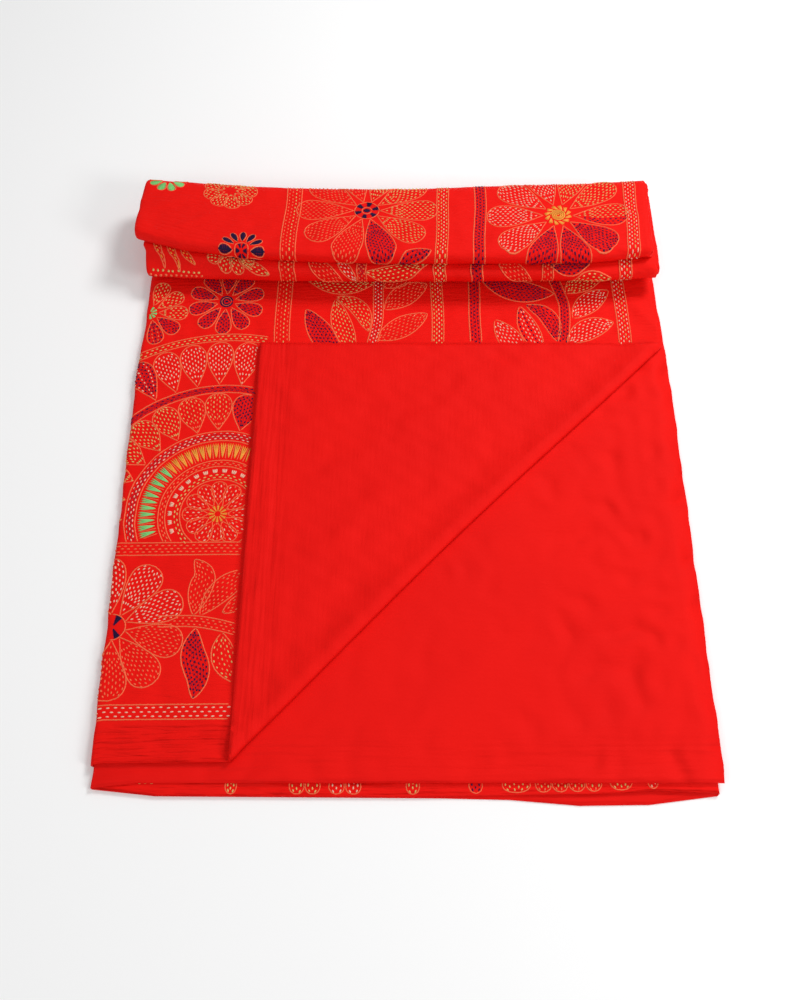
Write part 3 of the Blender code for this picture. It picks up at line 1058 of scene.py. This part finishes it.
# Leaves along a few points, with their width, stitch colours and ground
Sprig = namedtuple("Sprig", "points width colours ground", defaults=(None,))
SECOND_LIP_LEAVES = (
    Sprig([(-0.2820, 0.9210), (-0.2740, 0.8980), (-0.2660, 0.8800)], 0.0080, ("orange", "coral")),
    Sprig([(-0.2650, 0.9160), (-0.2570, 0.8960), (-0.2490, 0.8800)], 0.0080, ORANGE),
    Sprig([(-0.2470, 0.9030), (-0.2390, 0.8930), (-0.2310, 0.8855)], 0.0080, ORANGE),
    Sprig([(-0.1780, 0.8980), (-0.1640, 0.8900), (-0.1480, 0.8840)], 0.0120, GOLD),
    Sprig([(-0.1030, 0.9100), (-0.0880, 0.8900), (-0.0660, 0.8760)], 0.0200, CORAL),
    Sprig([(-0.0720, 0.9080), (-0.0600, 0.8910), (-0.0510, 0.8790)], 0.0110, CREAM),
    Sprig([(-0.0390, 0.8900), (-0.0150, 0.8850), (0.0300, 0.9020)], 0.0200, GOLD),
    Sprig([(0.1080, 0.9100), (0.1240, 0.8920), (0.1450, 0.8760)], 0.0200, CORAL),
    Sprig([(0.1660, 0.8990), (0.1850, 0.8920), (0.2100, 0.9000)], 0.0150, NAVY, "wine"),
    Sprig([(0.1850, 0.8700), (0.2080, 0.8850), (0.2330, 0.8820)], 0.0160, GOLD),
)
PANEL_LEAVES = (
    Sprig([(-0.1116, 0.5380), (-0.0700, 0.5240), (-0.0310, 0.5285)], 0.0270, GOLD),
    Sprig([(-0.0215, 0.5215), (-0.0020, 0.5330), (0.0160, 0.5420)], 0.0190, CORAL),
    Sprig([(-0.0202, 0.4918), (0.0030, 0.5125), (0.0284, 0.5255)], 0.0275, CORAL),
    Sprig([(-0.0297, 0.4527), (-0.0060, 0.4650), (0.0279, 0.4853)], 0.0260, CORAL),
    Sprig([(-0.0748, 0.5090), (-0.0470, 0.4960), (-0.0380, 0.4630)], 0.0195, GOLD),
    Sprig([(-0.0755, 0.5060), (-0.0690, 0.4720), (-0.0530, 0.4350)], 0.0225, GOLD),
    Sprig([(-0.1083, 0.4925), (-0.0930, 0.4640), (-0.0680, 0.4250)], 0.0270, NAVY_BY_GOLD, "wine"),
    Sprig([(0.0901, 0.5330), (0.1290, 0.5140), (0.1720, 0.5110)], 0.0290, NAVY, "wine"),
    Sprig([(0.1854, 0.5123), (0.2060, 0.5290), (0.2320, 0.5400)], 0.0270, GOLD),
    Sprig([(0.1908, 0.4780), (0.2100, 0.4990), (0.2341, 0.5148)], 0.0250, CREAM),
    Sprig([(0.1817, 0.4461), (0.2050, 0.4640), (0.2353, 0.4723)], 0.0260, CREAM),
    Sprig([(0.1400, 0.4960), (0.1650, 0.4830), (0.1711, 0.4480)], 0.0200, NAVY, "wine"),
    Sprig([(0.1323, 0.4940), (0.1400, 0.4620), (0.1550, 0.4330)], 0.0215, ("navy", "cream", "cream")),
    Sprig([(0.1037, 0.4765), (0.1170, 0.4530), (0.1360, 0.4280)], 0.0250, CREAM),
)
BOTTOM_LEAVES = (
    Sprig([(-0.2050, 0.1385), (-0.2010, 0.1640), (-0.1955, 0.1800), (-0.2080, 0.1960)], 0.0230, CORAL),
    Sprig([(-0.1985, 0.1385), (-0.1800, 0.1650), (-0.1500, 0.1850)], 0.0230, CORAL),
    Sprig([(-0.1770, 0.1400), (-0.1600, 0.1520), (-0.1400, 0.1600)], 0.0150, CORAL),
    Sprig([(-0.2015, 0.1250), (-0.2040, 0.1010), (-0.1950, 0.0800), (-0.1990, 0.0570)], 0.0250, NAVY, "wine"),
    Sprig([(-0.1760, 0.1200), (-0.1740, 0.0960), (-0.1600, 0.0720)], 0.0240, ("gold", "coral")),
)
STEMS = (
    Sprig([(-0.0275, 0.541), (-0.0272, 0.500), (-0.0275, 0.475), (-0.0340, 0.447)], 0.0112, CREAM, "wine"),
    Sprig([(0.1700, 0.541), (0.1790, 0.512), (0.1838, 0.492), (0.1773, 0.447)], 0.0115, NAVY, "wine"),
    Sprig([(-0.0430, 0.910), (-0.0455, 0.868)], 0.0100, CORAL, "wine"),
    Sprig([(0.1650, 0.910), (0.1600, 0.868)], 0.0120, CORAL),
    Sprig([(-0.2400, 0.1320), (-0.2000, 0.1330), (-0.1600, 0.1230)], 0.0110, CORAL),
)


def sew_panels():
    """The leaves and stems, the daisy and the half flower at the left."""
    for sprig in SECOND_LIP_LEAVES + PANEL_LEAVES + BOTTOM_LEAVES:
        sew_motif(leaf(sprig.points, sprig.width), sprig.colours, sprig.ground)
    for stem in STEMS:
        sew_motif(ribbon(curve(stem.points), stem.width), stem.colours, stem.ground, closed=False)
    for place in ((-0.2810, 0.9170), (-0.2640, 0.9110)):
        sew_disc("navy", place, 0.0026)
    sew_flower((-0.1900, 0.9150), 0.0060, 0.0340, 0.0150, petals(range(195, 360, 30), GOLD))
    sew_rows(ribbon(curve([(-0.2850, 0.8768), (-0.2220, 0.8795)]), 0.0070), ("coral", "gold"))
    daisy = (-0.1991, 0.5040)
    sew_flower(daisy, 0.0095, 0.0430, 0.0172, petals(range(16, 376, 36), NAVY, "wine"))
    for radius in (0.0042, 0.0068):
        stitch_line("navy", arc(daisy, radius), 0.0020)
    stitch_line("coral", arc(daisy, 0.0055), 0.0010)
    sew_disc("navy", daisy, 0.0018)
    half = (-0.2842, 0.4896)
    parts = petals((71, 35, -1), GOLD) + petals((-37,), NAVY, "wine")
    parts += petals((-73,), ("navy", "coral"), "wine")
    sew_flower(half, 0.0095, 0.0425, 0.0180, parts)
    sew_blocks("green", half, 0.0020, 0.0085, 0.0040, range(-80, 100, 36))


MEDALLION = (-0.189, 0.245)
MEDALLION_BASE = 0.2140
MEDALLION_SHOWN = 0.040


def medallion_span(radius):
    """The first and last angle of a medallion circle, from the turned-back corner round to its base."""
    dip = math.degrees(math.asin(min(1.0, (MEDALLION[1] - MEDALLION_BASE) / radius)))
    hidden = math.degrees(math.acos(min(1.0, MEDALLION_SHOWN / radius)))
    return max(-dip, hidden) if radius > MEDALLION_SHOWN else -dip, 180 + dip


# The medallion's rings of stitches, each with its radius, width, colours and ground
MEDALLION_LINES = (0.2155, 0.2070, 0.1505, 0.1415, 0.0945, 0.0835, 0.0605, 0.0535, 0.0385)
MEDALLION_BANDS = (
    (0.2112, 0.0085, GOLD, None),
    (0.1460, 0.0090, NAVY, "wine"),
    (0.0890, 0.0100, CREAM, "wine"),
    (0.0570, 0.0060, CORAL, None),
    (0.0423, 0.0070, GOLD, None),
)
KNOT_TURN = 11.52


def sew_medallion_petals():
    """Two rings of petals that point inwards, given by their angles from straight ahead."""
    for turned in (14.5, 5.8, -3.2, -12.1, -20.9, -29.5):
        shape = drop(MEDALLION, 90 - turned, 0.1515, 0.2055, 0.0285, 0.70)
        colours, ground = (("navy", "cream", "navy"), "wine") if turned < -25 else (CREAM, None)
        sew_motif(shape, colours, ground)
    for turned in (10, -3.5, -16.5, -29.6, -42, -54.5, -67, -80, -93):
        shape = drop(MEDALLION, 90 - turned, 0.0960, 0.1408, 0.0285, 0.68)
        plain = ("coral", "gold") if turned > -20 else GOLD
        colours, ground = (NAVY, "wine") if turned > 0 else (plain, None)
        sew_motif(shape, colours, ground)


def sew_rosette():
    """The flower in the middle, its nearer petals shorter so that they end at the medallion's base."""
    for turned in range(0, 360, 30):
        reach = 0.0360 if turned < 210 else 0.0340
        shape = drop(MEDALLION, turned, 0.0090, 0.0295 if turned == 270 else reach, 0.0160, 0.72)
        sew_rows(shape, ("coral", "cream"), gap=0.0038, pitch=0.0056, length=0.0028)
        edge_shape(shape, width=FINE_OUTLINE)
    sew_blocks("orange", MEDALLION, 0.0010, 0.0095, 0.0035, range(0, 360, 30))


def sew_medallion():
    """Rings round a rosette: petals, bands of stitches, a ring of fans and a ring of knots."""
    centre = np.array(MEDALLION)
    for radius in MEDALLION_LINES:
        stitch_line("coral", arc(MEDALLION, radius, *medallion_span(radius)))
    for radius, width, colours, ground in MEDALLION_BANDS:
        line = arc(MEDALLION, radius, *medallion_span(radius))
        if ground:
            sew_rows(ribbon(line, width - 0.0015), (ground,), **BAND_GROUND_ROWS)
        sew_rows(ribbon(line, width), colours, gap=0.0036, pitch=0.0060, length=0.0032)
    sew_medallion_petals()
    for turned in np.arange(50, 200, 5.65):
        sew_fan("orange" if turned < 135 else "green", centre + 0.0635 * unit(turned), turned, 0.0175, 8)
        spoke = unit(turned + 2.8) * np.linspace(0.0625, 0.0800, 12)[:, None]
        stitch_line("coral", centre + spoke, FINE_OUTLINE)
    for turned in np.arange(-20, 205, 11.7):
        knot = centre + 0.0485 * unit(turned)
        if knot[1] > MEDALLION_BASE + 0.002:
            for side in (-1, 0, 1):
                middle = knot + 0.0016 * side * unit(turned + 90)
                add_stitches("cream", np.array([middle]), turned + KNOT_TURN * side, 0.0046, 0.0019)
    sew_rosette()


LEFT_END_X = -0.291
FLAP_SIDE_X = -0.150


def sew_border(lines, rows, colour, length, pitch):
    """Lines across the quilt with rows of stitches between them."""
    for along in lines:
        stitch_line("coral", np.array([(LEFT_END_X, along), (FLAP_SIDE_X, along)]))
    for number, along in enumerate(rows):
        x = np.arange(LEFT_END_X + 0.5 * pitch * (number % 2), FLAP_SIDE_X, pitch)
        points = np.stack([x, np.full(len(x), along)], -1) + chance.normal(0, ASIDE_SPREAD, (len(x), 2))
        add_stitches(colour, points, chance.normal(0, TURN_SPREAD, len(x)), length, STITCH_WIDTH)


def sew_bottom_panel():
    """The flower at the left fold and the borders above and below."""
    sew_border((0.2140, 0.2008), (0.2108, 0.2075, 0.2042), "coral", 0.0036, 0.0062)
    sew_border((0.0520, 0.0384), (0.0492, 0.0452, 0.0412), "cream", 0.0034, 0.0070)
    flower = (-0.2829, 0.1270)
    parts = petals((98, 59, 23), CREAM) + petals((-15, -51, -86), CORAL)
    sew_flower(flower, 0.0125, 0.0715, 0.0320, parts)
    sew_blocks("navy", flower, 0.0020, 0.0125, 0.0085, (60, -60))
    stitch_line("coral", arc(flower, 0.0128, -95, 95))


# Bits of embroidery that show along the third layer's front hem: where each lies in x, and its colours
STRIP_BITS = (
    (-0.1650, -0.1540, 1, GOLD),
    (-0.1070, -0.0780, 2, GOLD),
    (-0.0710, -0.0410, 2, CREAM),
    (-0.0010, 0.0120, 1, GOLD),
    (0.0560, 0.0690, 1, NAVY),
    (0.0855, 0.1130, 1, GOLD),
    (0.1160, 0.1770, 4, ("coral", "gold")),
    (0.1835, 0.2050, 1, GOLD),
    (0.2180, 0.2280, 1, CREAM),
)


def sew_front_strip():
    """The ends of petals that the third layer's front hem shows."""
    line = ribbon(np.array([(-0.2740, 0.0105), (-0.2260, 0.0100)]), 0.0030)
    sew_rows(line, GOLD, layer=ON_THIRD)
    for start, end, count, colours in STRIP_BITS:
        width = (end - start) / count
        for number in range(count):
            x = start + width * (number + 0.5)
            tip = drop((x, 0.0250), -90, 0.0, 0.0235, 0.92 * width)
            edge_shape(tip, layer=ON_THIRD, width=FINE_OUTLINE)
            sew_rows(tip, colours, gap=0.0040, pitch=0.0048, length=0.0028, layer=ON_THIRD)


# Thread meshes
LIP_DRIFT_END = 0.950
STITCH_RINGS = np.array([(-0.5, 0.12), (-0.32, 0.85), (0.0, 1.0), (0.32, 0.85), (0.5, 0.12)])
RING_SIDES = 4
RING_ASIDE = np.array([1.0, 0.0, -1.0, 0.0])
RING_ABOVE = np.array([0.0, 1.0, 0.0, -0.6])
STITCH_HEIGHT_SHARE = 0.55
OUTLINE_HEIGHT_SHARE = 0.52
OUTLINE_WAIST = 0.76
OUTLINE_END = 0.25
OUTLINE_WANDER = 0.00008


def thread_across(x, layer):
    """The cloth's first coordinate of thread that is sewn at x on a layer."""
    return np.where(layer == ON_THIRD, cloth_across("third", x), cloth_across("top", x))


def lip_drift(own):
    """What the second lip's lean to the left takes from x, so that thread on it runs straight on."""
    side, side_left = ALONG.at(own)
    face_z = side[:, 1] + side_left[:, 1] * PACK_HALF
    return np.where(own < LIP_DRIFT_END, TOP_DRIFT * ramp(face_z, TOP_RUN_Z, TOP_RUN_FULL_Z), 0.0)


def ring_faces(rings):
    """Quads between the rings of one thread, with both ends closed, and the place of every corner."""
    quads, places = [], []
    for ring in range(rings - 1):
        for side in range(RING_SIDES):
            beside = (side + 1) % RING_SIDES
            quads.append((ring * RING_SIDES + side, ring * RING_SIDES + beside))
            quads[-1] += ((ring + 1) * RING_SIDES + beside, (ring + 1) * RING_SIDES + side)
            places += [(ring, side), (ring, side + 1), (ring + 1, side + 1), (ring + 1, side)]
    quads.append(tuple(range(RING_SIDES))[::-1])
    places += [(0, 0)] * RING_SIDES
    last = (rings - 1) * RING_SIDES
    quads.append(tuple(last + side for side in range(RING_SIDES)))
    places += [(rings - 1, 0)] * RING_SIDES
    return np.array(quads), np.array(places, float)


def thread_rings(centres, left, widths, heights, layer):
    """Points round a thread: four to a ring, on, left and right of it, laid on the folded cloth."""
    x = centres[:, None, 0] + left[:, None, 0] * RING_ASIDE * widths[:, None] / 2
    along = centres[:, None, 1] + left[:, None, 1] * RING_ASIDE * widths[:, None] / 2
    lift = RING_ABOVE * heights[:, None]
    layers = np.repeat(layer, RING_SIDES)
    own = np.interp(along.ravel(), FACE_LENGTHS, CLOTH_LENGTHS)
    across = thread_across(x.ravel() + lip_drift(own), layers)
    return lay(across, own, np.ones(across.shape), lift.ravel())


def thread_mesh(name, colour, points, faces, places, slot):
    data = bpy.data.meshes.new(name)
    data.vertices.add(len(points))
    data.vertices.foreach_set("co", points.ravel())
    data.loops.add(faces.size)
    data.loops.foreach_set("vertex_index", faces.ravel())
    data.polygons.add(len(faces))
    data.polygons.foreach_set("loop_start", np.arange(len(faces)) * 4)
    data.uv_layers.new(name="thread_place").data.foreach_set("uv", places.ravel())
    data.materials.append(thread_material(name, colour))
    data.update(calc_edges=True)
    data.validate()
    data.shade_smooth()
    piece = add_piece(name, data)
    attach(piece, "root")
    return piece


def stitch_piece(name, rows, colour, slot):
    """Every running stitch of one colour as one mesh."""
    rows = np.concatenate(rows)
    turned = np.radians(rows[:, 2])
    run = np.stack([np.cos(turned), np.sin(turned)], -1)
    left = np.stack([-run[:, 1], run[:, 0]], -1)
    count, rings = len(rows), len(STITCH_RINGS)
    centres = rows[:, None, :2] + run[:, None] * (rows[:, 3, None] * STITCH_RINGS[:, 0])[..., None]
    widths = rows[:, 4, None] * STITCH_RINGS[:, 1]
    heights = STITCH_HEIGHT_SHARE * widths
    points = thread_rings(
        centres.reshape(-1, 2),
        np.repeat(left, rings, axis=0),
        widths.ravel(),
        heights.ravel(),
        np.repeat(rows[:, 5], rings),
    )
    faces, places = ring_faces(rings)
    step = STITCH / (rings - 1)
    places = places * (step, STITCH_WIDTH)
    faces = (faces[None] + (np.arange(count) * rings * RING_SIDES)[:, None, None]).reshape(-1, 4)
    return thread_mesh(name, colour, points, faces, np.tile(places, (count, 1)), slot)


def outline_piece(name, lines, colour, slot):
    """Every back-stitched line of one colour as one mesh."""
    points, faces, places = [], [], []
    first = 0
    for line, width, layer in lines:
        rings = len(line)
        left = normals(line)
        swell = np.where(np.arange(rings) % 2, 1.0, OUTLINE_WAIST)
        swell[[0, -1]] = OUTLINE_END
        centres = line + left * chance.normal(0, OUTLINE_WANDER, rings)[:, None]
        heights = OUTLINE_HEIGHT_SHARE * width * swell
        points.append(thread_rings(centres, left, width * swell, heights, np.full(rings, layer)))
        quads, place = ring_faces(rings)
        faces.append(quads + first)
        places.append(place * (OUTLINE_STEP, STITCH_WIDTH))
        first += rings * RING_SIDES
    joined = [np.concatenate(part) for part in (points, faces, places)]
    return thread_mesh(name, colour, *joined, slot)


sew_stripes()
sew_top_run()
sew_panels()
sew_medallion()
sew_bottom_panel()
sew_front_strip()

cloth = sew_cloth()
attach(cloth, "root")
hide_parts("quilt")

for colour, rows in stitches.items():
    stitch_piece(colour + "_stitches", rows, THREAD_COLOURS[colour], colour + "_thread")
for colour, lines in outlines.items():
    outline_piece(colour + "_outline", lines, THREAD_COLOURS[colour], colour + "_thread")

# The stage: a pale floor, soft light from above, and the camera where the photograph was taken
FLOOR_REACH = 4.0
FLOOR_GREY = 0.92
WORLD_LIGHT = 0.46
corners = [(-FLOOR_REACH, -FLOOR_REACH, 0), (FLOOR_REACH, -FLOOR_REACH, 0)]
corners += [(FLOOR_REACH, FLOOR_REACH, 0), (-FLOOR_REACH, FLOOR_REACH, 0)]
floor_data = bpy.data.meshes.new("floor")
floor_data.from_pydata(corners, [], [(0, 1, 2, 3)])
floor = add_piece("floor", floor_data)
pale = bpy.data.materials.new("pale_floor")
pale.use_nodes = True
matt = pale.node_tree.nodes["Principled BSDF"].inputs
matt["Base Color"].default_value = (FLOOR_GREY, FLOOR_GREY, FLOOR_GREY, 1)
matt["Roughness"].default_value = 0.9
floor_data.materials.append(pale)

scene = bpy.context.scene
scene.view_settings.view_transform = "Standard"
world = bpy.data.worlds.new("studio")
scene.world = world
world.use_nodes = True
world.node_tree.nodes["Background"].inputs["Color"].default_value = (1, 1, 1, 1)
world.node_tree.nodes["Background"].inputs["Strength"].default_value = WORLD_LIGHT


def add_light(name, place, size, power):
    data = bpy.data.lights.new(name, "AREA")
    data.shape = "DISK"
    data.size = size
    data.energy = power
    light = add_piece(name, data)
    light.location = place
    light.rotation_euler = (-Vector(place)).to_track_quat("-Z", "Y").to_euler()


add_light("key", (1.0, 1.0, 1.4), 0.6, 20)
add_light("side", (1.5, -0.8, 1.1), 0.6, 13)
add_light("fill", (-1.1, -1.0, 1.8), 1.8, 9)

CAMERA_PLACE = (0.0032, -0.4551, 0.9246)
CAMERA_PITCH = math.radians(65.85)
CAMERA_YAW = math.radians(0.204)
CAMERA_ROLL = math.radians(-0.298)
CAMERA_LENS = 35.48
ahead = Vector(
    (
        math.sin(CAMERA_YAW) * math.cos(CAMERA_PITCH),
        math.cos(CAMERA_YAW) * math.cos(CAMERA_PITCH),
        -math.sin(CAMERA_PITCH),
    )
)
level = ahead.cross(Vector((0, 0, 1))).normalized()
upward = level.cross(ahead)
right = math.cos(CAMERA_ROLL) * level + math.sin(CAMERA_ROLL) * upward
up = math.cos(CAMERA_ROLL) * upward - math.sin(CAMERA_ROLL) * level
camera_data = bpy.data.cameras.new("camera")
camera_data.lens = CAMERA_LENS
camera = add_piece("camera", camera_data)
camera.matrix_world = Matrix.Translation(CAMERA_PLACE) @ Matrix((right, up, -ahead)).transposed().to_4x4()
scene.camera = camera
